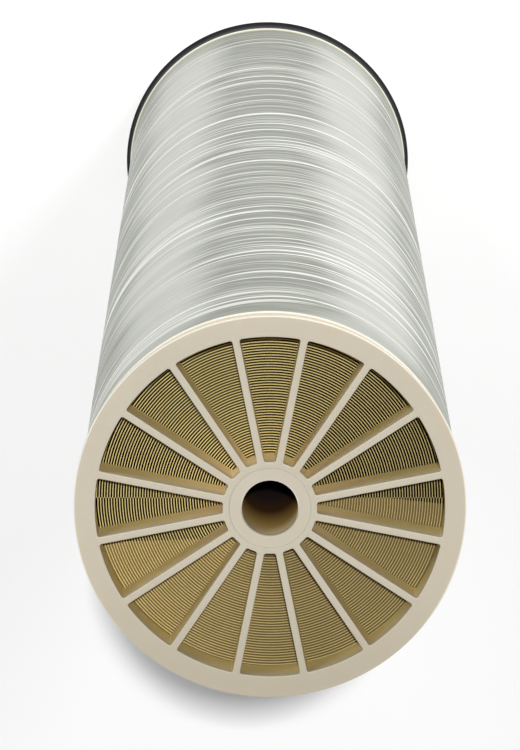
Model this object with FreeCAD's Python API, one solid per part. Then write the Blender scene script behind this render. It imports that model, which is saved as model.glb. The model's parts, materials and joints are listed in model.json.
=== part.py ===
"""Spiral-wound reverse-osmosis element of the eight inch size, standing on its feed end.

Z runs along the element. Zero is the outer face of the feed end, where the brine seal sits,
and the outlet end is on top. Both ends carry the same moulded cap, so each end is drawn in
depths that are measured inwards from its own outer face. All lengths are in millimetres.
"""
import FreeCAD
import Part
import math
import os

# Overall size
element_length = 1016.0
flange_radius = 100.5
barrel_step = 2.5               # the wrapped barrel lies this far inside the flanges

# Permeate tube
tube_radius = 20.9
tube_bore_radius = 13.6
port_radius = 14.3              # machined seat for the coupler's seal rings
port_depth = 95.0
port_chamfer = 0.9
tube_recess = 0.3               # the tube stops this short of the cap's face
drain_radius = 1.6
drain_pitch = 80.0
drain_margin = 50.0             # blind tube between the roll's end and its first drain holes

# End cap, depths from its outer face
flange_thickness = 3.5
flange_chamfer = 0.8
seal_groove_width = 13.0
seal_groove_depth = 4.5
land_thickness = 2.0
land_step = 1.35                # the land between groove and wrap lies this far inside the flange
rim_width = 11.0                # from the flange's edge to the windows
hub_wall = 3.15
hub_clearance = 0.15
spoke_count = 16
spoke_width = 3.75
window_draft = 0.35             # windows open out by this much from face to back
window_corner = 1.2
roll_seat_depth = 21.5
skirt_end_depth = 40.0
skirt_wall = 1.8
key_rib_height = 0.9
key_rib_width = 4.0
key_rib_depth = 26.0

# Glass wrap over the barrel and the caps' skirts
wrap_over_skirt = 1.9
wrap_clearance = 0.05
wrap_end_gap = 0.1

# Membrane roll and its binding tape
tape_thickness = 0.3
tape_clearance = 0.15
roll_clearance = 0.2            # to the tube, the tape and the caps' seats
turn_pitch = 2.8                # one drawn ridge stands for the edges of two leaves
turn_depth = 1.3

# Brine seal, a cup of rubber in the feed end's groove
seal_lip_reach = 1.9            # relaxed, the lip stands this far outside the flange
seal_heel_gap = 0.6
seal_open_gap = 1.8
seal_floor_clearance = 0.2
seal_heel_width = 4.0
seal_lip_thickness = 1.5
seal_shoulder_drop = 0.8

# Worked out from the sizes above
barrel_radius = flange_radius - barrel_step
land_radius = flange_radius - land_step
groove_radius = flange_radius - seal_groove_depth
groove_end = flange_thickness + seal_groove_width
land_end = groove_end + land_thickness
skirt_radius = barrel_radius - wrap_over_skirt
skirt_bore_radius = skirt_radius - skirt_wall
tape_radius = skirt_bore_radius - tape_clearance
roll_radius = tape_radius - tape_thickness - roll_clearance
hub_bore_radius = tube_radius + hub_clearance
hub_radius = hub_bore_radius + hub_wall
window_radius = flange_radius - rim_width
roll_end_depth = roll_seat_depth + roll_clearance

axis = FreeCAD.Vector(0, 0, 1)
centre = FreeCAD.Vector(0, 0, 0)


def turned(points, angle=360.0, about=centre):
    """Solid of revolution about a line along Z from (radius, depth) corners."""
    corners = [FreeCAD.Vector(about.x + radius, 0, depth) for radius, depth in points]
    face = Part.Face(Part.makePolygon(corners + corners[:1]))
    return face.revolve(about, axis, angle)


def ring(inner, outer, low, high):
    """Plain tube between two radii and two heights."""
    return turned([(inner, low), (outer, low), (outer, high), (inner, high)])


def at_outlet(shape):
    """The same shape at the outlet end, turned over end for end."""
    flipped = shape.copy()
    flipped.rotate(centre, FreeCAD.Vector(1, 0, 0), 180)
    flipped.translate(FreeCAD.Vector(0, 0, element_length))
    return flipped


def window_outline(growth, depth):
    """Closed outline of one window between two spokes, grown outwards by the draft."""
    half_pitch = math.pi / spoke_count
    half_spoke = spoke_width / 2 - growth
    inner = hub_radius - growth
    outer = window_radius + growth
    lean = FreeCAD.Vector(math.cos(half_pitch), math.sin(half_pitch), 0)
    side = FreeCAD.Vector(math.sin(half_pitch), -math.cos(half_pitch), 0)

    def corner(radius):
        along = math.sqrt(radius ** 2 - half_spoke ** 2)
        return lean * along + side * half_spoke

    def mirrored(point):
        return FreeCAD.Vector(point.x, -point.y, 0)

    low = corner(inner)
    high = corner(outer)
    edges = [
        Part.LineSegment(low, high).toShape(),
        Part.Arc(high, FreeCAD.Vector(outer, 0, 0), mirrored(high)).toShape(),
        Part.LineSegment(mirrored(high), mirrored(low)).toShape(),
        Part.Arc(mirrored(low), FreeCAD.Vector(inner, 0, 0), low).toShape(),
    ]
    outline = Part.Wire(edges)
    outline.translate(FreeCAD.Vector(0, 0, depth))
    return outline


def window_cutter():
    """One window between two spokes, drafted so that the mould's core draws out backwards."""
    cutter = Part.makeLoft(
        [window_outline(0, 0), window_outline(window_draft, roll_seat_depth)], True, True
    )
    upright = [edge for edge in cutter.Edges if abs(edge.tangentAt(edge.FirstParameter).z) > 0.9]
    return cutter.makeFillet(window_corner, upright)


def end_cap():
    """Anti-telescoping cap: flange, seal groove, skirt, spokes and hub in one moulding."""
    rib_start = key_rib_depth
    rib_end = key_rib_depth + key_rib_width
    rib_radius = skirt_radius + key_rib_height
    blank = turned([
        (hub_bore_radius, 0),
        (flange_radius - flange_chamfer, 0),
        (flange_radius, flange_chamfer),
        (flange_radius, flange_thickness),
        (groove_radius, flange_thickness),
        (groove_radius, groove_end),
        (land_radius, groove_end),
        (land_radius, land_end),
        (skirt_radius, land_end),
        (skirt_radius, rib_start),
        (rib_radius, rib_start),
        (rib_radius, rib_end),
        (skirt_radius, rib_end),
        (skirt_radius, skirt_end_depth),
        (skirt_bore_radius, skirt_end_depth),
        (skirt_bore_radius, roll_seat_depth),
        (hub_bore_radius, roll_seat_depth),
    ])
    window = window_cutter()
    windows = []
    for index in range(spoke_count):
        copy = window.copy()
        copy.rotate(centre, axis, index * 360.0 / spoke_count)
        windows.append(copy)
    return blank.cut(Part.makeCompound(windows))


def permeate_tube():
    """Core tube with a machined port at each end and cross-drilled drain holes."""
    low = tube_recess
    high = element_length - tube_recess
    tube = turned([
        (port_radius + port_chamfer, low),
        (tube_radius, low),
        (tube_radius, high),
        (port_radius + port_chamfer, high),
        (port_radius, high - port_chamfer),
        (port_radius, high - port_depth),
        (tube_bore_radius, high - port_depth),
        (tube_bore_radius, low + port_depth),
        (port_radius, low + port_depth),
        (port_radius, low + port_chamfer),
    ])
    first = roll_end_depth + drain_margin
    last = element_length - first
    steps = max(1, math.floor((last - first) / drain_pitch))
    spacing = (last - first) / steps
    drills = []
    for step in range(steps + 1):
        turn = FreeCAD.Rotation(axis, 90 * (step % 2))
        across = turn.multVec(FreeCAD.Vector(1, 0, 0))
        start = FreeCAD.Vector(0, 0, first + step * spacing) - across * 2 * tube_radius
        drills.append(Part.makeCylinder(drain_radius, 4 * tube_radius, start, across))
    return tube.cut(Part.makeCompound(drills))


def turn_grooves():
    """Gaps between the leaf edges at one end of the roll, as one spiral of half circles.

    The upper half circles are struck from the element's axis and the lower ones from a centre
    half a pitch beside it, so that every half turn runs on into the next one.
    """
    surface = roll_end_depth
    clear = surface - turn_depth
    count = math.floor((window_radius - hub_radius) / turn_pitch)
    start = hub_radius + (window_radius - hub_radius - count * turn_pitch) / 2
    halves = []
    for beside, angle in ((0, 180), (turn_pitch / 2, -180)):
        corners = [(start + beside, clear)]
        for index in range(count):
            inner = start + beside + index * turn_pitch
            corners.append((inner, surface))
            corners.append((inner + turn_pitch / 2, surface + turn_depth))
        corners.append((start + beside + count * turn_pitch, surface))
        corners.append((start + beside + count * turn_pitch, clear))
        halves.append(turned(corners, angle, FreeCAD.Vector(beside, 0, 0)))
    return halves


def membrane_roll():
    """Leaves wound on the tube, trimmed square, with the turns showing at both ends."""
    roll = ring(
        tube_radius + roll_clearance, roll_radius, roll_end_depth, element_length - roll_end_depth
    )
    for half in turn_grooves():
        roll = roll.cut(half).cut(at_outlet(half))
    return roll


def binding_tape():
    """Film that holds the roll closed under the glass wrap."""
    return ring(
        tape_radius - tape_thickness, tape_radius, roll_end_depth, element_length - roll_end_depth
    )


def wrap_bore_at_end():
    """Inside of the glass wrap over one cap's skirt, as (radius, depth) from the end inwards."""
    over_skirt = skirt_radius + wrap_clearance
    over_rib = over_skirt + key_rib_height
    start = land_end + wrap_end_gap
    return [
        (barrel_radius, start),
        (over_skirt, start),
        (over_skirt, key_rib_depth - wrap_clearance),
        (over_rib, key_rib_depth - wrap_clearance),
        (over_rib, key_rib_depth + key_rib_width + wrap_clearance),
        (over_skirt, key_rib_depth + key_rib_width + wrap_clearance),
        (over_skirt, skirt_end_depth + wrap_clearance),
        (tape_radius + wrap_clearance, skirt_end_depth + wrap_clearance),
    ]


def glass_wrap():
    """Filament-wound barrel that locks over both caps' skirts."""
    feed = wrap_bore_at_end()
    outlet = [(radius, element_length - depth) for radius, depth in reversed(feed)]
    return turned(feed + outlet)


def brine_seal():
    """Cup seal in the feed cap's groove, its lips open towards the feed."""
    floor = groove_radius + seal_floor_clearance
    heel = groove_end - seal_heel_gap
    mouth = flange_thickness + seal_open_gap
    root = heel - seal_heel_width
    lip = flange_radius + seal_lip_reach
    shoulder = land_radius - seal_shoulder_drop
    return turned([
        (floor, mouth),
        (floor, heel),
        (shoulder, heel),
        (lip, mouth),
        (lip - seal_lip_thickness, mouth),
        (shoulder - seal_lip_thickness, root),
        (floor + seal_lip_thickness, root),
        (floor + seal_lip_thickness, mouth),
    ])


parts = {
    "permeate_tube": permeate_tube(),
    "membrane_roll": membrane_roll(),
    "binding_tape": binding_tape(),
    "feed_end_cap": end_cap(),
    "outlet_end_cap": at_outlet(end_cap()),
    "glass_wrap": glass_wrap(),
    "brine_seal": brine_seal(),
}

os.makedirs("parts", exist_ok=True)
for name, shape in parts.items():
    shape.exportStep("parts/" + name + ".step")
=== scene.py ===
"""Reverse osmosis membrane element: its finish, floor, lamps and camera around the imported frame.

Z runs along the element, which stands on its feed end. Everything is in metres. Each end is
drawn in depths measured down from the outlet end's outer face; the feed end is the same end
turned over.
"""

import json
import math

import bmesh
import bpy
from mathutils import Matrix, Vector

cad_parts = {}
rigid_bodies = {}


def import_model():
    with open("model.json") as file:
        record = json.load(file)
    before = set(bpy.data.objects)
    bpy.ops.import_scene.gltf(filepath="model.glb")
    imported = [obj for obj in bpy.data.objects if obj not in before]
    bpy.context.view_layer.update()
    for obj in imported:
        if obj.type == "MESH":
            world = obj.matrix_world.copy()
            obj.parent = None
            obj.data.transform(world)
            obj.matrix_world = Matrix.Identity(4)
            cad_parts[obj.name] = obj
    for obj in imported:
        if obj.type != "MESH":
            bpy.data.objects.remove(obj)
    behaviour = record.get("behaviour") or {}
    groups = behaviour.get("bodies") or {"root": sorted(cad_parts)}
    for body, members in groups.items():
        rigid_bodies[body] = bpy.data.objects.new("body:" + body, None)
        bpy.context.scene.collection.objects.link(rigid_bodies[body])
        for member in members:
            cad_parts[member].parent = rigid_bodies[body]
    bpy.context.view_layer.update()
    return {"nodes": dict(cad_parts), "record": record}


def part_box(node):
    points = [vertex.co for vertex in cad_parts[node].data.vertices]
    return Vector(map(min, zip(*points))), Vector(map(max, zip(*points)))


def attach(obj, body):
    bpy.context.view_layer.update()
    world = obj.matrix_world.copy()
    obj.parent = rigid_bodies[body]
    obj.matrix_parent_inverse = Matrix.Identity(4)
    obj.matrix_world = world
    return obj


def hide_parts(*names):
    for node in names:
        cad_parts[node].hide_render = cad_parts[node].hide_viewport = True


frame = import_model()

MM = 0.001
FULL_TURN = 2 * math.pi
MERGE_GAP = 1e-6

# Sizes that the frame gives
cap_low, cap_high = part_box("outlet_end_cap")
tube_low, tube_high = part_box("permeate_tube")
roll_low, roll_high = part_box("membrane_roll")
wrap_low, wrap_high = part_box("glass_wrap")
seal_low, seal_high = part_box("brine_seal")
mounts = {mount["name"]: mount for mount in frame["record"]["mounts"]}
element_length = cap_high.z
flange_radius = mounts["outlet_flange"]["dims"]["r_mm"] * MM
port_radius = mounts["outlet_port"]["dims"]["r_mm"] * MM
tube_radius = tube_high.x
wrap_radius = wrap_high.x
roll_radius = roll_high.x
seal_radius = seal_high.x
roll_depth = element_length - roll_high.z
wrap_depth = element_length - wrap_high.z
skirt_depth = cap_high.z - cap_low.z

# End cap
flange_thickness = 3.5 * MM
groove_depth = 4.5 * MM
groove_end = 16.5 * MM
land_end = 18.5 * MM
land_step = 1.35 * MM
rim_width = 11 * MM
hub_wall = 3.15 * MM
hub_clearance = 0.15 * MM
spoke_count = 16
spoke_width = 3.75 * MM
window_draft = 0.35 * MM
window_corner = 1.2 * MM
roll_seat_depth = 21.5 * MM
skirt_wall = 1.8 * MM
wrap_over_skirt = 1.9 * MM
key_rib_start = 26 * MM
key_rib_end = 30 * MM
key_rib_height = 0.9 * MM
window_edge = 0.4 * MM
flange_edge = 0.8 * MM
small_edge = 0.35 * MM
joint_edge = 0.1 * MM           # on both sides of the line between hub and tube
joint_gap = 0.05 * MM
land_radius = flange_radius - land_step
skirt_radius = wrap_radius - wrap_over_skirt
hub_radius = tube_radius + hub_clearance + hub_wall
window_radius = flange_radius - rim_width

# Tube
tube_bore_radius = 13.6 * MM
port_depth = 95 * MM
port_edge = 0.9 * MM
drain_radius = 1.6 * MM
drain_pitch = 80 * MM
drain_margin = 50 * MM

# Roll
turn_pitch = 1.4 * MM
turn_depth = 1.3 * MM
leaf_width = 0.62 * MM
leaf_edge = 0.12 * MM
leaf_wander = 0.03 * MM
roll_gap = 0.2 * MM

# Glass wrap
wrap_clearance = 0.05 * MM
tape_clearance = 0.15 * MM
wrap_cuts = (4, 49)             # the outside is cut into 2 x 5 x 50 hoops
band_relief = 0.25 * MM
band_width = 22 * MM
strand_relief = 0.25 * MM
strand_width = 5 * MM
hoop_length = 900 * MM
winding_slant = math.radians(3)
# invented paler stripes along the barrel, in its colour
highlight_stripe_count = 5                 # paler stripes along the barrel: a painted highlight in its colour
highlight_stripe_lean = 0.85                 # turns one painted highlight stripe to where the right softbox shines

# Where colours change
hub_painted_light_end = 62 * MM          # the window walls' painted light, a brighter gold, reaches from the hub out to here
hub_roll_shade_end = 55 * MM          # the roll's painted shade is strongest from the hub out to here
port_shade_end = 80 * MM        # the port's painted shade darkens down the tube until here

# Brine seal
seal_floor_radius = 96.2 * MM
seal_heel_width = 4 * MM
seal_wall = 1.5 * MM
seal_shoulder_drop = 0.8 * MM
flare_steps = 8

# Studio
floor_radius = 6.0
floor_glow = 0.06
world_level = 0.1
lamp_aim = 0.75 * element_length
lamps = [                       # name, place, size and power
    ("top_lamp", (0.24, 4.706, 16.3), 0.38, 2060),
    ("right_softbox", (1.5, 1.68, 0.85), 0.7, 28),
    ("left_softbox", (-1.5, 1.5, 1.9), 1.1, 14),
]

# Camera
sensor_width = 36
lens = 219.9
view_tilt = math.radians(12.76)         # between the line of sight and the element's axis
view_pan = math.radians(0.016)
face_from_camera = (5.1 * MM, -68.1 * MM, -2341 * MM)
sight_range = (0.1, 50)

# Steps round a full turn
CAP_STEPS = 192
TUBE_STEPS = 96
WRAP_STEPS = 150
ROLL_STEPS = 144
DRAIN_STEPS = 16
FLOOR_STEPS = 64

# Steps round one rounding, and round each arc of a window
CORNER_STEPS = 4
WINDOW_STEPS = 6

# Faces that meet at less than this are shaded as one
SMOOTH_ANGLE = math.radians(5)
WRAP_SMOOTH_ANGLE = math.radians(30)


class Pen:
    """Draws outlines in edit mode: a vertex is extruded along lines and spun round corners."""

    def __init__(self, name, normal):
        bpy.ops.object.select_all(action="DESELECT")
        bpy.ops.mesh.primitive_plane_add(size=MM)
        self.piece = bpy.context.object
        self.piece.name = self.piece.data.name = name
        self.normal = Vector(normal)
        bpy.ops.object.mode_set(mode="EDIT")
        bpy.ops.mesh.select_all(action="SELECT")
        bpy.ops.mesh.delete(type="VERT")

    def start(self, at):
        """Puts one new selected vertex down."""
        bpy.ops.mesh.select_mode(type="VERT")
        bpy.ops.mesh.primitive_plane_add(size=MM)
        bpy.ops.mesh.merge(type="CENTER")
        bpy.ops.transform.translate(value=at)
        self.at = Vector(at)

    def line(self, to):
        to = Vector(to)
        bpy.ops.mesh.extrude_region_move(TRANSFORM_OT_translate={"value": to - self.at})
        self.at = to

    def arc(self, centre, angle, steps):
        """Spins the vertex round a centre, to the left of the pen's normal for a positive angle."""
        bpy.ops.mesh.spin(steps=steps, angle=-angle, center=centre, axis=self.normal)
        turn = Matrix.Rotation(angle, 3, self.normal)
        self.at = Vector(centre) + turn @ (self.at - Vector(centre))

    def corner(self, at, after, rounding):
        """Goes to a corner and rounds it towards the next point."""
        at, after = Vector(at), Vector(after)
        if rounding == 0:
            self.line(at)
            return
        back = (self.at - at).normalized()
        on = (after - at).normalized()
        half = back.angle(on) / 2
        self.line(at + back * rounding / math.tan(half))
        side = back.cross(on).dot(self.normal)
        turn = math.copysign(math.pi - 2 * half, -side)
        self.arc(at + (back + on).normalized() * rounding / math.sin(half), turn, CORNER_STEPS)

    def outline(self, corners, closed=False):
        """Draws through corners given as (radius, height, rounding)."""
        points = [Vector((radius, 0, height)) for radius, height, _ in corners]
        if closed:
            middle = (points[-1] + points[0]) / 2
            self.start(middle)
            points.append(middle)
        else:
            self.start(points[0])
            corners = corners[1:]
            points = points[1:]
        for index, (_, _, rounding) in enumerate(corners):
            if index + 1 < len(points):
                self.corner(points[index], points[index + 1], rounding)
            else:
                self.line(points[index])
        if closed:
            self.line(points[-1])
        bpy.ops.mesh.select_linked()

    def turn(self, steps, angle=FULL_TURN, centre=(0, 0, 0)):
        """Turns what is selected about a line along Z."""
        bpy.ops.mesh.spin(steps=steps, angle=-angle, center=centre, axis=(0, 0, 1))

    def done(self, smooth=SMOOTH_ANGLE):
        """Closes the seams, points the faces outwards and leaves edit mode."""
        bpy.ops.mesh.select_all(action="SELECT")
        bpy.ops.mesh.remove_doubles(threshold=MERGE_GAP)
        bpy.ops.mesh.normals_make_consistent(inside=False)
        bpy.ops.object.mode_set(mode="OBJECT")
        bpy.ops.object.shade_smooth_by_angle(angle=smooth)
        return self.piece


def pick(piece, kind, test):
    """Selects only the vertices, edges or faces that pass a test."""
    bpy.ops.mesh.select_all(action="DESELECT")
    bpy.ops.mesh.select_mode(type=kind)
    mesh = bmesh.from_edit_mesh(piece.data)
    for part in {"VERT": mesh.verts, "EDGE": mesh.edges, "FACE": mesh.faces}[kind]:
        if test(part):
            part.select_set(True)
    bmesh.update_edit_mesh(piece.data)


def at_height(height):
    """A test for edges that lie flat at one height."""
    return lambda edge: all(abs(vertex.co.z - height) < MERGE_GAP for vertex in edge.verts)


def turned_over(piece, name):
    """A copy with its own mesh, turned over for the feed end."""
    bpy.ops.object.select_all(action="DESELECT")
    piece.select_set(True)
    bpy.context.view_layer.objects.active = piece
    bpy.ops.object.duplicate()
    copy = bpy.context.object
    copy.name = copy.data.name = name
    bpy.ops.object.mode_set(mode="EDIT")
    bpy.ops.mesh.select_all(action="SELECT")
    bpy.ops.transform.rotate(
        value=math.pi, orient_axis="X", center_override=(0, 0, element_length / 2)
    )
    bpy.ops.object.mode_set(mode="OBJECT")
    return copy


def window_loop(pen, growth, depth):
    """One closed window outline between two spokes, grown outwards all round."""
    lean = math.pi / spoke_count
    along = Vector((math.cos(lean), math.sin(lean), 0))
    side = Vector((math.sin(lean), -math.cos(lean), 0))
    corner = window_corner + growth
    inset = spoke_width / 2 - growth + corner
    outer = window_radius + growth
    inner = hub_radius - growth
    height = element_length - depth
    rim_centre = along * math.sqrt((outer - corner) ** 2 - inset ** 2) + side * inset
    hub_centre = along * math.sqrt((inner + corner) ** 2 - inset ** 2) + side * inset
    rim_angle = math.atan2(rim_centre.y, rim_centre.x)
    hub_angle = math.atan2(hub_centre.y, hub_centre.x)
    lift = Vector((0, 0, height))
    mirror = Vector((1, -1, 1))
    pen.start(Vector((outer, 0, height)))
    pen.arc(lift, rim_angle, WINDOW_STEPS)
    pen.arc(rim_centre + lift, math.pi / 2 + lean - rim_angle, WINDOW_STEPS)
    pen.line(hub_centre - side * corner + lift)
    pen.arc(hub_centre + lift, math.pi / 2 + hub_angle - lean, WINDOW_STEPS)
    pen.arc(lift, -2 * hub_angle, WINDOW_STEPS)
    pen.arc(hub_centre * mirror + lift, math.pi / 2 + hub_angle - lean, WINDOW_STEPS)
    pen.line((rim_centre - side * corner) * mirror + lift)
    pen.arc(rim_centre * mirror + lift, math.pi / 2 + lean - rim_angle, WINDOW_STEPS)
    pen.arc(lift, rim_angle, WINDOW_STEPS)


def outlet_cap():
    """The spoked end cap: windows with softened edges between a hub and a grooved flange."""
    pen = Pen("outlet_cap", (0, 0, 1))
    levels = []
    for step in range(CORNER_STEPS + 1):
        lean = math.pi / 2 * step / CORNER_STEPS
        growth = window_edge * (1 - math.sin(lean))
        depth = window_edge * (1 - math.cos(lean))
        levels.append((growth, depth))
    levels.append((window_draft, roll_seat_depth))
    for growth, depth in levels:
        window_loop(pen, growth, depth)
    bpy.ops.mesh.select_all(action="SELECT")
    bpy.ops.mesh.remove_doubles(threshold=MERGE_GAP)
    for above, below in zip(levels, levels[1:]):
        tests = [at_height(element_length - depth) for _, depth in (above, below)]
        pick(pen.piece, "EDGE", lambda edge: any(test(edge) for test in tests))
        bpy.ops.mesh.bridge_edge_loops()
    bpy.ops.mesh.select_all(action="SELECT")
    bpy.ops.mesh.spin(
        steps=spoke_count - 1, dupli=True, center=(0, 0, 0), axis=(0, 0, 1),
        angle=FULL_TURN * (spoke_count - 1) / spoke_count,
    )

    top = element_length
    seat = top - roll_seat_depth
    bore = tube_radius + joint_gap
    groove = flange_radius - groove_depth
    rib = skirt_radius + key_rib_height
    skirt_bore = skirt_radius - skirt_wall
    pen.normal = Vector((0, 1, 0))
    pen.outline([
        (flange_radius - flange_edge, top, 0),
        (flange_radius, top, 0),
        (flange_radius, top - flange_thickness, small_edge),
        (groove, top - flange_thickness, small_edge),
        (groove, top - groove_end, small_edge),
        (land_radius, top - groove_end, small_edge),
        (land_radius, top - land_end, small_edge),
        (skirt_radius, top - land_end, 0),
        (skirt_radius, top - key_rib_start, 0),
        (rib, top - key_rib_start, small_edge),
        (rib, top - key_rib_end, small_edge),
        (skirt_radius, top - key_rib_end, 0),
        (skirt_radius, top - skirt_depth, small_edge),
        (skirt_bore, top - skirt_depth, small_edge),
        (skirt_bore, seat, 0),
    ])
    pen.turn(CAP_STEPS)
    pen.outline([(bore, seat, 0), (bore, top - joint_edge, 0), (bore + joint_edge, top, 0)])
    pen.turn(CAP_STEPS // 2)
    bpy.ops.mesh.select_all(action="SELECT")
    bpy.ops.mesh.remove_doubles(threshold=MERGE_GAP)
    for height in (top, seat):
        level = at_height(height)
        pick(pen.piece, "EDGE", lambda edge: edge.is_boundary and level(edge))
        bpy.ops.mesh.fill()
    return pen.done()


def permeate_tube():
    """Core tube with a port bored in each end and its drain holes."""
    low, high = tube_low.z, tube_high.z
    pen = Pen("core_tube", (0, 1, 0))
    pen.outline([
        (tube_radius, low, joint_edge),
        (tube_radius, high, joint_edge),
        (port_radius, high, port_edge),
        (port_radius, high - port_depth, 0),
        (tube_bore_radius, high - port_depth, small_edge),
        (tube_bore_radius, low + port_depth, small_edge),
        (port_radius, low + port_depth, 0),
        (port_radius, low, port_edge),
    ], closed=True)
    pen.turn(TUBE_STEPS)
    tube = pen.done()

    first = roll_depth + drain_margin
    steps = int((element_length - 2 * first) / drain_pitch)
    spacing = (element_length - 2 * first) / steps
    bpy.ops.object.select_all(action="DESELECT")
    bpy.ops.mesh.primitive_cylinder_add(
        vertices=DRAIN_STEPS, radius=drain_radius, depth=3 * tube_radius,
        rotation=(0, math.pi / 2, 0),
    )
    drills = bpy.context.object
    bpy.ops.object.mode_set(mode="EDIT")
    bpy.ops.mesh.select_all(action="SELECT")
    bpy.ops.transform.translate(value=(0, 0, first))
    for _ in range(steps):
        bpy.ops.mesh.duplicate()
        bpy.ops.transform.translate(value=(0, 0, spacing))
        bpy.ops.transform.rotate(
            value=math.pi / 2, orient_axis="Z", center_override=(0, 0, 0)
        )
    bpy.ops.object.mode_set(mode="OBJECT")
    cut(tube, drills)
    return tube


def cut(piece, cutter):
    """Cuts one piece with another and deletes the cutter."""
    bpy.context.view_layer.objects.active = piece
    modifier = piece.modifiers.new("cut", "BOOLEAN")
    modifier.object = cutter
    modifier.operation = "DIFFERENCE"
    modifier.solver = "EXACT"
    bpy.ops.object.modifier_apply(modifier=modifier.name)
    bpy.data.objects.remove(cutter)


def spiral_half(side):
    """Half a turn of every leaf edge at the roll's outlet face.

    The two halves are turned about centres half a pitch apart, so that each half turn runs on
    into the next one and all the edges make one spiral.
    """
    count = int((roll_radius - tube_radius) / turn_pitch) - 1
    first = tube_radius + (roll_radius - tube_radius - (count + 0.5) * turn_pitch) / 2
    beside = side * turn_pitch / 2
    inner = first + beside
    outer = inner + leaf_width
    face = roll_high.z
    floor = face - turn_depth
    pen = Pen("leaf_edges", (0, 1, 0))
    pen.outline([
        (inner, floor, 0),
        (inner + leaf_edge / 2, face - leaf_edge, 0),
        (inner + leaf_edge, face, 0),
        (outer - leaf_edge, face, 0),
        (outer - leaf_edge / 2, face - leaf_edge, 0),
        (outer, floor, 0),
        (inner + turn_pitch, floor, 0),
    ])
    bpy.ops.object.mode_set(mode="OBJECT")
    repeat = pen.piece.modifiers.new("turns", "ARRAY")
    repeat.count = count
    repeat.use_relative_offset = False
    repeat.use_constant_offset = True
    repeat.constant_offset_displace = (turn_pitch, 0, 0)
    repeat.use_merge_vertices = True
    repeat.merge_threshold = MERGE_GAP
    bpy.ops.object.modifier_apply(modifier=repeat.name)
    bpy.ops.object.mode_set(mode="EDIT")
    bpy.ops.mesh.select_all(action="SELECT")
    pen.turn(ROLL_STEPS // 2, (1 - 2 * side) * math.pi, (beside, 0, 0))
    pick(pen.piece, "VERT", lambda vertex: (
        vertex.co.z > face - turn_depth / 2 and abs(vertex.co.y) > MERGE_GAP
    ))
    bpy.ops.transform.vertex_random(offset=leaf_wander, uniform=0, normal=0, seed=side)
    bpy.ops.object.mode_set(mode="OBJECT")
    return pen.piece


def membrane_roll():
    """The wound roll, with the turns of its leaves showing at both ends."""
    halves = [spiral_half(side) for side in (0, 1)]
    halves += [turned_over(half, "leaf_edges") for half in halves]
    floors = (roll_low.z + turn_depth, roll_high.z - turn_depth)
    pen = Pen("wound_roll", (0, 1, 0))
    for radius in (tube_radius + roll_gap, roll_radius):
        pen.outline([(radius, floors[0], 0), (radius, floors[1], 0)])
        pen.turn(ROLL_STEPS)
    bpy.ops.object.mode_set(mode="OBJECT")
    for half in halves:
        half.select_set(True)
    pen.piece.select_set(True)
    bpy.context.view_layer.objects.active = pen.piece
    bpy.ops.object.join()
    bpy.ops.object.mode_set(mode="EDIT")
    bpy.ops.mesh.select_all(action="SELECT")
    bpy.ops.mesh.remove_doubles(threshold=MERGE_GAP)
    middle = (tube_radius + roll_radius) / 2
    for floor in floors:
        level = at_height(floor)
        for outermost in (False, True):
            pick(pen.piece, "EDGE", lambda edge: edge.is_boundary and not level(edge) and all(
                abs(vertex.co.z - floor) < 2 * turn_depth and (vertex.co.x > middle) == outermost
                for vertex in edge.verts
            ))
            bpy.ops.mesh.edge_face_add()
        pick(pen.piece, "EDGE", lambda edge: edge.is_boundary and level(edge))
        bpy.ops.mesh.fill()
    return pen.done()


def glass_wrap():
    """The wound glass barrel: a stepped bore over the skirts and low hoops of roving outside."""
    over_skirt = skirt_radius + wrap_clearance
    over_rib = over_skirt + key_rib_height
    over_roll = skirt_radius - skirt_wall - tape_clearance + wrap_clearance
    end = [
        (wrap_radius, wrap_depth, small_edge),
        (over_skirt, wrap_depth, 0),
        (over_skirt, key_rib_start - wrap_clearance, 0),
        (over_rib, key_rib_start - wrap_clearance, 0),
        (over_rib, key_rib_end + wrap_clearance, 0),
        (over_skirt, key_rib_end + wrap_clearance, 0),
        (over_skirt, skirt_depth + wrap_clearance, 0),
        (over_roll, skirt_depth + wrap_clearance, 0),
    ]
    outlet = [(radius, element_length - depth, edge) for radius, depth, edge in reversed(end)]
    pen = Pen("wound_barrel", (0, 1, 0))
    pen.outline(end + outlet, closed=True)
    pick(pen.piece, "EDGE", lambda edge: all(
        vertex.co.x > wrap_radius - MERGE_GAP for vertex in edge.verts
    ))
    for cuts in wrap_cuts:
        bpy.ops.mesh.subdivide(number_cuts=cuts)
    bpy.ops.mesh.select_all(action="SELECT")
    pen.turn(WRAP_STEPS)
    barrel = pen.done(WRAP_SMOOTH_ANGLE)
    outside = barrel.vertex_groups.new(name="outside")
    limit = wrap_radius - MERGE_GAP
    shown = [v.index for v in barrel.data.vertices if v.co.xy.length > limit]
    outside.add(shown, 1, "REPLACE")
    for relief, width in ((band_relief, band_width), (strand_relief, strand_width)):
        wind(barrel, outside, relief, width)
    return barrel


def wind(barrel, outside, relief, width):
    """Raises slightly slanted hoops of one width on the barrel."""
    clouds = bpy.data.textures.new("hoops", "CLOUDS")
    clouds.noise_scale = 1
    clouds.noise_depth = 1
    slant = bpy.data.objects.new("hoops", None)
    bpy.context.scene.collection.objects.link(slant)
    slant.rotation_euler = (0, winding_slant, 0)
    slant.scale = (hoop_length, hoop_length, width)
    bpy.context.view_layer.update()
    hoops = barrel.modifiers.new("hoops", "DISPLACE")
    hoops.texture = clouds
    hoops.texture_coords = "OBJECT"
    hoops.texture_coords_object = slant
    hoops.vertex_group = outside.name
    hoops.strength = relief
    bpy.context.view_layer.objects.active = barrel
    bpy.ops.object.modifier_apply(modifier=hoops.name)
    bpy.data.objects.remove(slant)
    bpy.data.textures.remove(clouds)


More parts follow.
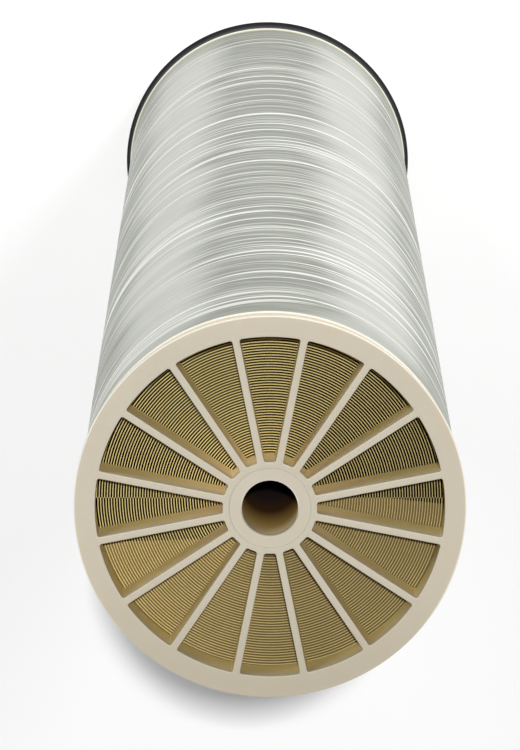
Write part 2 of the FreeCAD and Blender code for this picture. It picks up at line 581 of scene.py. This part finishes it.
def brine_seal():
    """Cup seal in the feed end's groove, open towards the feed, with a lip that flares out."""
    mouth, heel = seal_low.z, seal_high.z
    root = heel - seal_heel_width
    shoulder = land_radius - seal_shoulder_drop
    lean = 2 * math.atan((seal_radius - shoulder) / (heel - mouth))
    sweep = (heel - mouth) / math.sin(lean)

    def flare(radius, top):
        """One side of the lip from a height down to the mouth, as an arc of the sweep."""
        first = math.asin((heel - top) / radius)
        last = math.asin((heel - mouth) / radius)
        side = []
        for step in range(flare_steps + 1):
            turn = first + (last - first) * step / flare_steps
            side.append([
                shoulder + sweep - radius * math.cos(turn), heel - radius * math.sin(turn), 0
            ])
        side[0][2] = side[-1][2] = small_edge
        return side

    inner_lip = seal_floor_radius + seal_wall
    pen = Pen("cup_seal", (0, 1, 0))
    pen.outline([
        (seal_floor_radius, mouth, small_edge),
        (inner_lip, mouth, small_edge),
        (inner_lip, root, small_edge),
        *flare(sweep + seal_wall, root),
        *reversed(flare(sweep, heel)),
        (seal_floor_radius, heel, small_edge),
    ], closed=True)
    pen.turn(CAP_STEPS)
    return pen.done()


class Signal:
    """An output of a node tree, which can be added, multiplied and so on."""

    def __init__(self, finish, socket):
        self.finish = finish
        self.socket = socket

    def __add__(self, other):
        return self.finish.maths("ADD", self, other)

    def __sub__(self, other):
        return self.finish.maths("SUBTRACT", self, other)

    def __rsub__(self, other):
        return self.finish.maths("SUBTRACT", other, self)

    def __mul__(self, other):
        return self.finish.maths("MULTIPLY", self, other)

    def __truediv__(self, other):
        return self.finish.maths("DIVIDE", self, other)

    __radd__ = __add__
    __rmul__ = __mul__


class Finish:
    """One material, built round a Principled shader."""

    def __init__(self, name):
        self.material = bpy.data.materials.new(name)
        self.material.use_nodes = True
        self.tree = self.material.node_tree
        self.tree.nodes.clear()
        self.shader = self.tree.nodes.new("ShaderNodeBsdfPrincipled")
        output = self.tree.nodes.new("ShaderNodeOutputMaterial")
        self.tree.links.new(self.shader.outputs["BSDF"], output.inputs["Surface"])
        self.place = self.add("ShaderNodeTexCoord", output="Object")

    def fill(self, socket, value):
        """Links a signal to a socket, or sets the socket's own value."""
        if isinstance(value, Signal):
            self.tree.links.new(value.socket, socket)
        elif isinstance(value, (tuple, list)) and len(value) < len(socket.default_value):
            socket.default_value = (*value, 1)
        else:
            socket.default_value = value

    def add(self, kind, sockets=(), output=0, stops=(), **settings):
        """Adds a node: its settings first, then the values or links of its sockets."""
        node = self.tree.nodes.new(kind)
        for name, setting in settings.items():
            setattr(node, name, setting)
        for index, (position, colour) in enumerate(stops):
            elements = node.color_ramp.elements
            element = elements[index] if index < 2 else elements.new(position)
            element.position = position
            element.color = (*colour, 1)
        for name, value in dict(sockets).items():
            self.fill(node.inputs[name], value)
        return Signal(self, node.outputs[output])

    def maths(self, operation, first, second=0):
        return self.add("ShaderNodeMath", {0: first, 1: second}, operation=operation)

    def between(self, signal, low, high):
        """0 below the low mark, 1 above the high one and a smooth rise between them."""
        return self.add("ShaderNodeMapRange", {
            "Value": signal, "From Min": low, "From Max": high,
        }, interpolation_type="SMOOTHSTEP")

    def mix(self, mask, first, second):
        """One colour turning into another where the mask is 1."""
        return self.add("ShaderNodeMix", {
            0: mask, 6: first, 7: second,
        }, output=2, data_type="RGBA")

    def noise(self, size, detail=2.0, roughness=0.5, where=None):
        """Cloudy noise from 0 to 1 whose lumps are about one size across."""
        return self.add("ShaderNodeTexNoise", {
            "Vector": where or self.place, "Scale": 1 / size, "Detail": detail,
            "Roughness": roughness,
        })

    def axes(self):
        """The x, y and z of the place on the surface."""
        return [
            self.add("ShaderNodeSeparateXYZ", {0: self.place}, output=axis) for axis in range(3)
        ]

    def vector(self, x, y, z):
        return self.add("ShaderNodeCombineXYZ", {0: x, 1: y, 2: z})

    def radius(self):
        """Distance from the element's axis."""
        x, y, _ = self.axes()
        return self.maths("SQRT", x * x + y * y)

    def bump(self, height, distance):
        """A normal from heights between 0 and 1 that stand for one distance."""
        return self.add("ShaderNodeBump", {"Height": height, "Distance": distance})

    def surface(self, **sockets):
        """Fills the shader's sockets; base_color stands for Base Color."""
        for name, value in sockets.items():
            socket = name.replace("_", " ").title().replace("Ior", "IOR")
            self.fill(self.shader.inputs[socket], value)
        return self.material


def end_depth(finish):
    """How deep a place lies below the nearer end's outer face."""
    _, _, z = finish.axes()
    half = element_length / 2
    return half - finish.maths("ABSOLUTE", z - half)


def moulded_ivory():
    """Satin ivory moulding. Painted shade and bounced light turn the window walls golden, and
    painted highlights make its outer rim edge and the land behind the groove pale.

    The browner side towards -Y, whose edges aren't pale, and the brighter gold near the hub are
    invented: they stand in for shade and for light that shines through the plastic.
    """
    finish = Finish("moulded_ivory")
    clouds = finish.noise(45 * MM, 3)
    flow = finish.noise(9 * MM, 3, 0.6)
    grain = finish.noise(0.7 * MM, 2)
    radius = finish.radius()
    depth = end_depth(finish)
    inside = finish.between(radius, window_radius + 2 * MM, window_radius + MM)
    # painted shade and bounced light: the window walls turn golden below the face
    golden = finish.between(depth, 0, 11 * MM) * inside
    rim = finish.between(radius, flange_radius - flange_edge, flange_radius - flange_edge / 2)
    # painted highlight: the land behind the groove is paler
    painted_land_highlight = finish.between(radius, land_radius - MM, land_radius) * finish.between(
        depth, groove_end - MM, groove_end
    )
    # painted highlight: the flange's outer edge is pale, except on the painted-shade side towards
    # -Y
    painted_edge_lighting = rim * finish.between(depth, flange_edge, flange_edge / 2)
    clean = finish.mix(clouds * 0.6 + flow * 0.4, (0.55, 0.49, 0.375), (0.61, 0.56, 0.45))
    warm = finish.mix(flow, (0.60, 0.47, 0.18), (0.72, 0.59, 0.28))
    # painted light: the walls are a brighter gold near the hub
    glow = finish.between(radius, hub_painted_light_end, hub_radius)
    warm = finish.mix(glow, warm, (0.92, 0.74, 0.40))
    # painted shade: the caps are browner towards -Y
    painted_shade_side = finish.between(finish.axes()[1], -20 * MM, -flange_radius)
    clean = finish.mix(0.6 * painted_shade_side, clean, (0.44, 0.39, 0.29))
    colour = finish.mix(golden, clean, warm)
    colour = finish.mix(painted_edge_lighting * (1 - 1.5 * painted_shade_side), colour, (0.86, 0.82, 0.74))
    colour = finish.mix(painted_land_highlight, colour, (0.80, 0.80, 0.69))
    return finish.surface(
        base_color=colour,
        subsurface_weight=0.3,
        subsurface_scale=6 * MM,
        subsurface_radius=(1, 0.7, 0.35),
        roughness=0.42 + 0.1 * flow,
        normal=finish.bump(grain * 0.4 + flow * 0.6, 0.03 * MM),
    )


def tube_plastic():
    """Ivory tube with turned rings on its end face, browner and then nearly black down its port,
    which is painted shade.

    The port's edge is pale on its +Y side and dark on the other, as a stand-in for light and shade.
    """
    finish = Finish("tube_plastic")
    clouds = finish.noise(20 * MM, 3)
    radius = finish.radius()
    depth = end_depth(finish)
    rings = finish.noise(0.35 * MM, 1, where=finish.vector(radius, depth, 0))
    clean = finish.mix(clouds, (0.56, 0.50, 0.385), (0.62, 0.57, 0.46))
    # painted light and shade: the port's edge is pale on its +Y side and dark on the other
    painted_edge_lighting = finish.between(radius, port_radius + port_edge, port_radius + port_edge / 2)
    upper = finish.between(finish.axes()[1], -6 * MM, 6 * MM)
    edge = finish.mix(upper, (0.36, 0.30, 0.20), (0.92, 0.89, 0.82))
    clean = finish.mix(painted_edge_lighting, clean, edge)
    down = finish.between(depth, MM, 4 * MM)
    # painted shade: browner and then nearly black down the port
    port_shade = finish.add("ShaderNodeValToRGB", {"Fac": depth / port_shade_end}, stops=[
        (0.01, (0.62, 0.55, 0.40)),
        (0.15, (0.60, 0.46, 0.19)),
        (0.3, (0.48, 0.31, 0.085)),
        (0.6, (0.08, 0.03, 0.005)),
        (1.0, (0.01, 0.004, 0.002)),
    ])
    return finish.surface(
        base_color=finish.mix(down, clean, port_shade),
        specular_ior_level=0.3,
        roughness=0.4 + 0.12 * rings + 0.4 * finish.between(depth, 20 * MM, port_shade_end),
        normal=finish.bump(rings, 0.02 * MM),
    )


def leaf_edge_finish():
    """Cut leaf edges: golden membrane and carrier above, brown spacer net in the gaps.

    They get darker towards +X and -Y, and most of all near the hub. That is invented too, and
    stands in for the shade of the hub and the spokes.
    """
    finish = Finish("leaf_edges")
    depth = end_depth(finish)
    face = roll_depth
    gap = finish.between(depth, face + 0.15 * MM, face + 0.75 * turn_depth)
    fray = finish.noise(1.1 * MM, 3, 0.65)
    patches = finish.noise(14 * MM, 2)
    x, y, _ = finish.axes()
    near_hub = finish.between(finish.radius(), hub_roll_shade_end, hub_radius)
    # painted shade of the hub and spokes: darker towards +X and -Y, most near the hub
    painted_roll_shade = finish.between((x - 0.6 * y) * (1 + 3 * near_hub), -70 * MM, 90 * MM)
    edge = finish.mix(fray, (0.60, 0.48, 0.17), (0.90, 0.76, 0.37))
    edge = finish.mix(patches * 0.5, edge, (0.66, 0.53, 0.20))
    net = finish.mix(fray, (0.15, 0.09, 0.016), (0.29, 0.185, 0.045))
    leaves = finish.mix(gap, edge, net)
    return finish.surface(
        base_color=finish.mix(0.4 * painted_roll_shade, leaves, (0.02, 0.014, 0.003)),
        roughness=0.62 + 0.2 * fray,
        normal=finish.bump(fray, 0.12 * MM),
    )


def strand_place(finish, spread, pitch, slant, wander):
    """A place squeezed along slanted hoops, so that noise on it runs round as strands."""
    x, y, z = finish.axes()
    wobble = finish.noise(70 * MM, 1)
    along = z + x * math.tan(slant) + (wobble - 0.5) * wander
    return finish.vector(x / spread, y / spread, along / pitch)


def strands(finish, spread, width, slant, wander, share):
    """Separate thin lines that run round the barrel: 1 on a strand and 0 between strands."""
    level = finish.noise(1, 0, where=strand_place(finish, spread, 3 * width, slant, wander))
    return finish.between(level, 0.5 + share, 0.58 + share)


def wound_glass():
    """Grey-green resin over glass roving, with pale strands lying round it: partly the roving's own
    paler colour and partly a painted highlight on their ridges.

    The stripes along the barrel are a painted highlight, a colour that adds to the lamps'
    highlights.
    They aren't a feature of a real wrap.
    """
    finish = Finish("wound_glass")
    hair = finish.noise(1, 2, 0.65, where=strand_place(finish, 0.11, 3.6 * MM, 0.05, 3 * MM))
    weave = finish.noise(1, 2, 0.6, where=strand_place(finish, 0.07, 4.6 * MM, -0.3, 5 * MM))
    streak = finish.noise(1, 2, where=strand_place(finish, 0.35, 6 * MM, 0.05, 6 * MM))
    bands = finish.noise(1, 2, where=strand_place(finish, 0.6, 60 * MM, 0.05, 0))
    # pale strands: partly the roving's own colour, partly a painted highlight on their ridges
    bold = strands(finish, 0.26, 1.5 * MM, 0.055, 5 * MM, 0.15)
    fine = strands(finish, 0.18, 1.2 * MM, 0.04, 4 * MM, 0.07)
    cross = strands(finish, 0.4, 1.7 * MM, -0.12, 8 * MM, 0.18)
    fine = fine * finish.between(bands, 0.38, 0.55)
    ground = finish.between(streak * 0.3 + hair * 0.4 + weave * 0.3, 0.36, 0.64)
    resin = finish.mix(ground, (0.105, 0.115, 0.083), (0.27, 0.285, 0.23))
    # painted highlight: paler stripes along the barrel, one turned to the right softbox
    x, y, _ = finish.axes()
    lean = finish.maths("ARCTAN2", x, y) + 0.5 * bands
    painted_stripe_highlight = finish.between(finish.maths("COSINE", highlight_stripe_count * (lean - highlight_stripe_lean)), -0.5, 1)
    resin = finish.mix(0.6 * painted_stripe_highlight, resin, (0.66, 0.67, 0.62))
    pale = finish.mix(0.5 * fine, resin, (0.62, 0.635, 0.565))
    pale = finish.mix(0.6 * cross, pale, (0.62, 0.635, 0.565))
    pale = finish.mix(bold, pale, (0.78, 0.79, 0.73))
    # painted shade: the barrel is darker beside each cap's land, fading out 50 mm along
    painted_end_shade = finish.between(end_depth(finish), wrap_depth + 50 * MM, wrap_depth + 15 * MM)
    pale = finish.mix(0.4 * painted_end_shade, pale, (0.20, 0.215, 0.17))
    relief = 0.25 * hair + 0.3 * streak + 0.6 * bold + 0.3 * fine + 0.3 * cross
    return finish.surface(
        base_color=pale,
        metallic=0.5,
        anisotropic=0.8,
        roughness=0.42 + 0.1 * streak,
        normal=finish.bump(relief, 1.2 * MM),
    )


def seal_rubber():
    """Black moulded rubber, greyer towards its heel: a painted sheen."""
    finish = Finish("seal_rubber")
    _, _, z = finish.axes()
    specks = finish.noise(6 * MM, 4, 0.6)
    # painted sheen: the rubber turns grey towards its heel, in specks
    painted_sheen = finish.between(z, seal_low.z + 2 * MM, seal_high.z) * (0.6 + 0.6 * specks)
    return finish.surface(
        base_color=finish.mix(painted_sheen, (0.006, 0.006, 0.007), (0.13, 0.13, 0.13)),
        roughness=0.55 + 0.2 * specks,
        specular_ior_level=0.15,
        normal=finish.bump(specks, 0.04 * MM),
    )


def binding_film():
    """Pale film with faint wraps round it."""
    finish = Finish("binding_film")
    wraps = finish.noise(1, 2, where=strand_place(finish, 0.5, 9 * MM, 0.06, 2 * MM))
    return finish.surface(
        base_color=finish.mix(wraps, (0.50, 0.49, 0.36), (0.58, 0.57, 0.45)),
        roughness=0.3 + 0.1 * wraps,
    )


def lay_floor():
    """A plain pale floor that looks white and keeps the shadow."""
    bpy.ops.object.select_all(action="DESELECT")
    bpy.ops.mesh.primitive_circle_add(
        vertices=FLOOR_STEPS, radius=floor_radius, fill_type="NGON", location=(0, 0, 0)
    )
    floor = bpy.context.object
    floor.name = "floor"
    finish = Finish("pale_floor")
    rays = [
        finish.add("ShaderNodeLightPath", output=kind)
        for kind in ("Is Camera Ray", "Is Glossy Ray", "Is Transmission Ray")
    ]
    seen = finish.maths("MINIMUM", rays[0] + rays[1] + rays[2], 1)
    dull = finish.noise(400 * MM, 2)
    floor.data.materials.append(finish.surface(
        base_color=finish.mix(dull, (0.90, 0.90, 0.90), (0.92, 0.92, 0.92)),
        roughness=0.9,
        emission_color=finish.mix(seen, (0, 0, 0), (1, 1, 1)),
        emission_strength=floor_glow,
    ))


def light_world():
    """A plain white surround: soft on the object, and full white where it is seen."""
    world = bpy.data.worlds.new("studio")
    bpy.context.scene.world = world
    world.use_nodes = True
    tree = world.node_tree
    tree.nodes.clear()
    rays = tree.nodes.new("ShaderNodeLightPath")
    strength = rays.outputs["Is Camera Ray"]
    for kind in ("Is Glossy Ray", "Is Transmission Ray"):
        either = tree.nodes.new("ShaderNodeMath")
        either.operation = "MAXIMUM"
        tree.links.new(strength, either.inputs[0])
        tree.links.new(rays.outputs[kind], either.inputs[1])
        strength = either.outputs[0]
    level = tree.nodes.new("ShaderNodeMapRange")
    level.inputs["To Min"].default_value = world_level
    tree.links.new(strength, level.inputs["Value"])
    background = tree.nodes.new("ShaderNodeBackground")
    background.inputs["Color"].default_value = (1, 1, 1, 1)
    tree.links.new(level.outputs[0], background.inputs["Strength"])
    output = tree.nodes.new("ShaderNodeOutputWorld")
    tree.links.new(background.outputs[0], output.inputs["Surface"])


def hang_lamp(name, place, size, power):
    """A square soft lamp that looks at a point on the element's axis."""
    data = bpy.data.lights.new(name, "AREA")
    data.shape = "SQUARE"
    data.size = size
    data.energy = power
    lamp = bpy.data.objects.new(name, data)
    bpy.context.scene.collection.objects.link(lamp)
    lamp.location = place
    aim = Vector((0, 0, lamp_aim)) - Vector(place)
    lamp.rotation_euler = aim.to_track_quat("-Z", "Y").to_euler()


def set_camera():
    """Looks down on the outlet face along a line slightly off the element's axis."""
    data = bpy.data.cameras.new("camera")
    data.sensor_width = sensor_width
    data.lens = lens
    data.clip_start, data.clip_end = sight_range
    camera = bpy.data.objects.new("camera", data)
    bpy.context.scene.collection.objects.link(camera)
    turn = Matrix.Rotation(-view_tilt, 3, "X") @ Matrix.Rotation(view_pan, 3, "Y")
    camera.location = Vector((0, 0, element_length)) - turn @ Vector(face_from_camera)
    camera.rotation_euler = turn.to_euler()
    bpy.context.scene.camera = camera


def dress():
    """Makes every piece, gives it its finish and puts it in place of its node."""
    ivory = moulded_ivory()
    cap = outlet_cap()
    rows = [
        (cap, "outlet_end_cap", "cap_plastic", ivory),
        (turned_over(cap, "feed_cap"), "feed_end_cap", "cap_plastic", ivory),
        (permeate_tube(), "permeate_tube", "tube_plastic", tube_plastic()),
        (membrane_roll(), "membrane_roll", "membrane_leaf", leaf_edge_finish()),
        (glass_wrap(), "glass_wrap", "glass_resin", wound_glass()),
        (brine_seal(), "brine_seal", "seal_rubber", seal_rubber()),
    ]
    for piece, node, slot, material in rows:
        piece.data.materials.clear()
        piece.data.materials.append(material)
        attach(piece, "root")
        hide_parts(node)
    tape = frame["nodes"]["binding_tape"]
    tape.data.materials.clear()
    tape.data.materials.append(binding_film())


set_camera()
light_world()
for lamp in lamps:
    hang_lamp(*lamp)
lay_floor()
dress()

bpy.context.scene.view_settings.view_transform = "Standard"
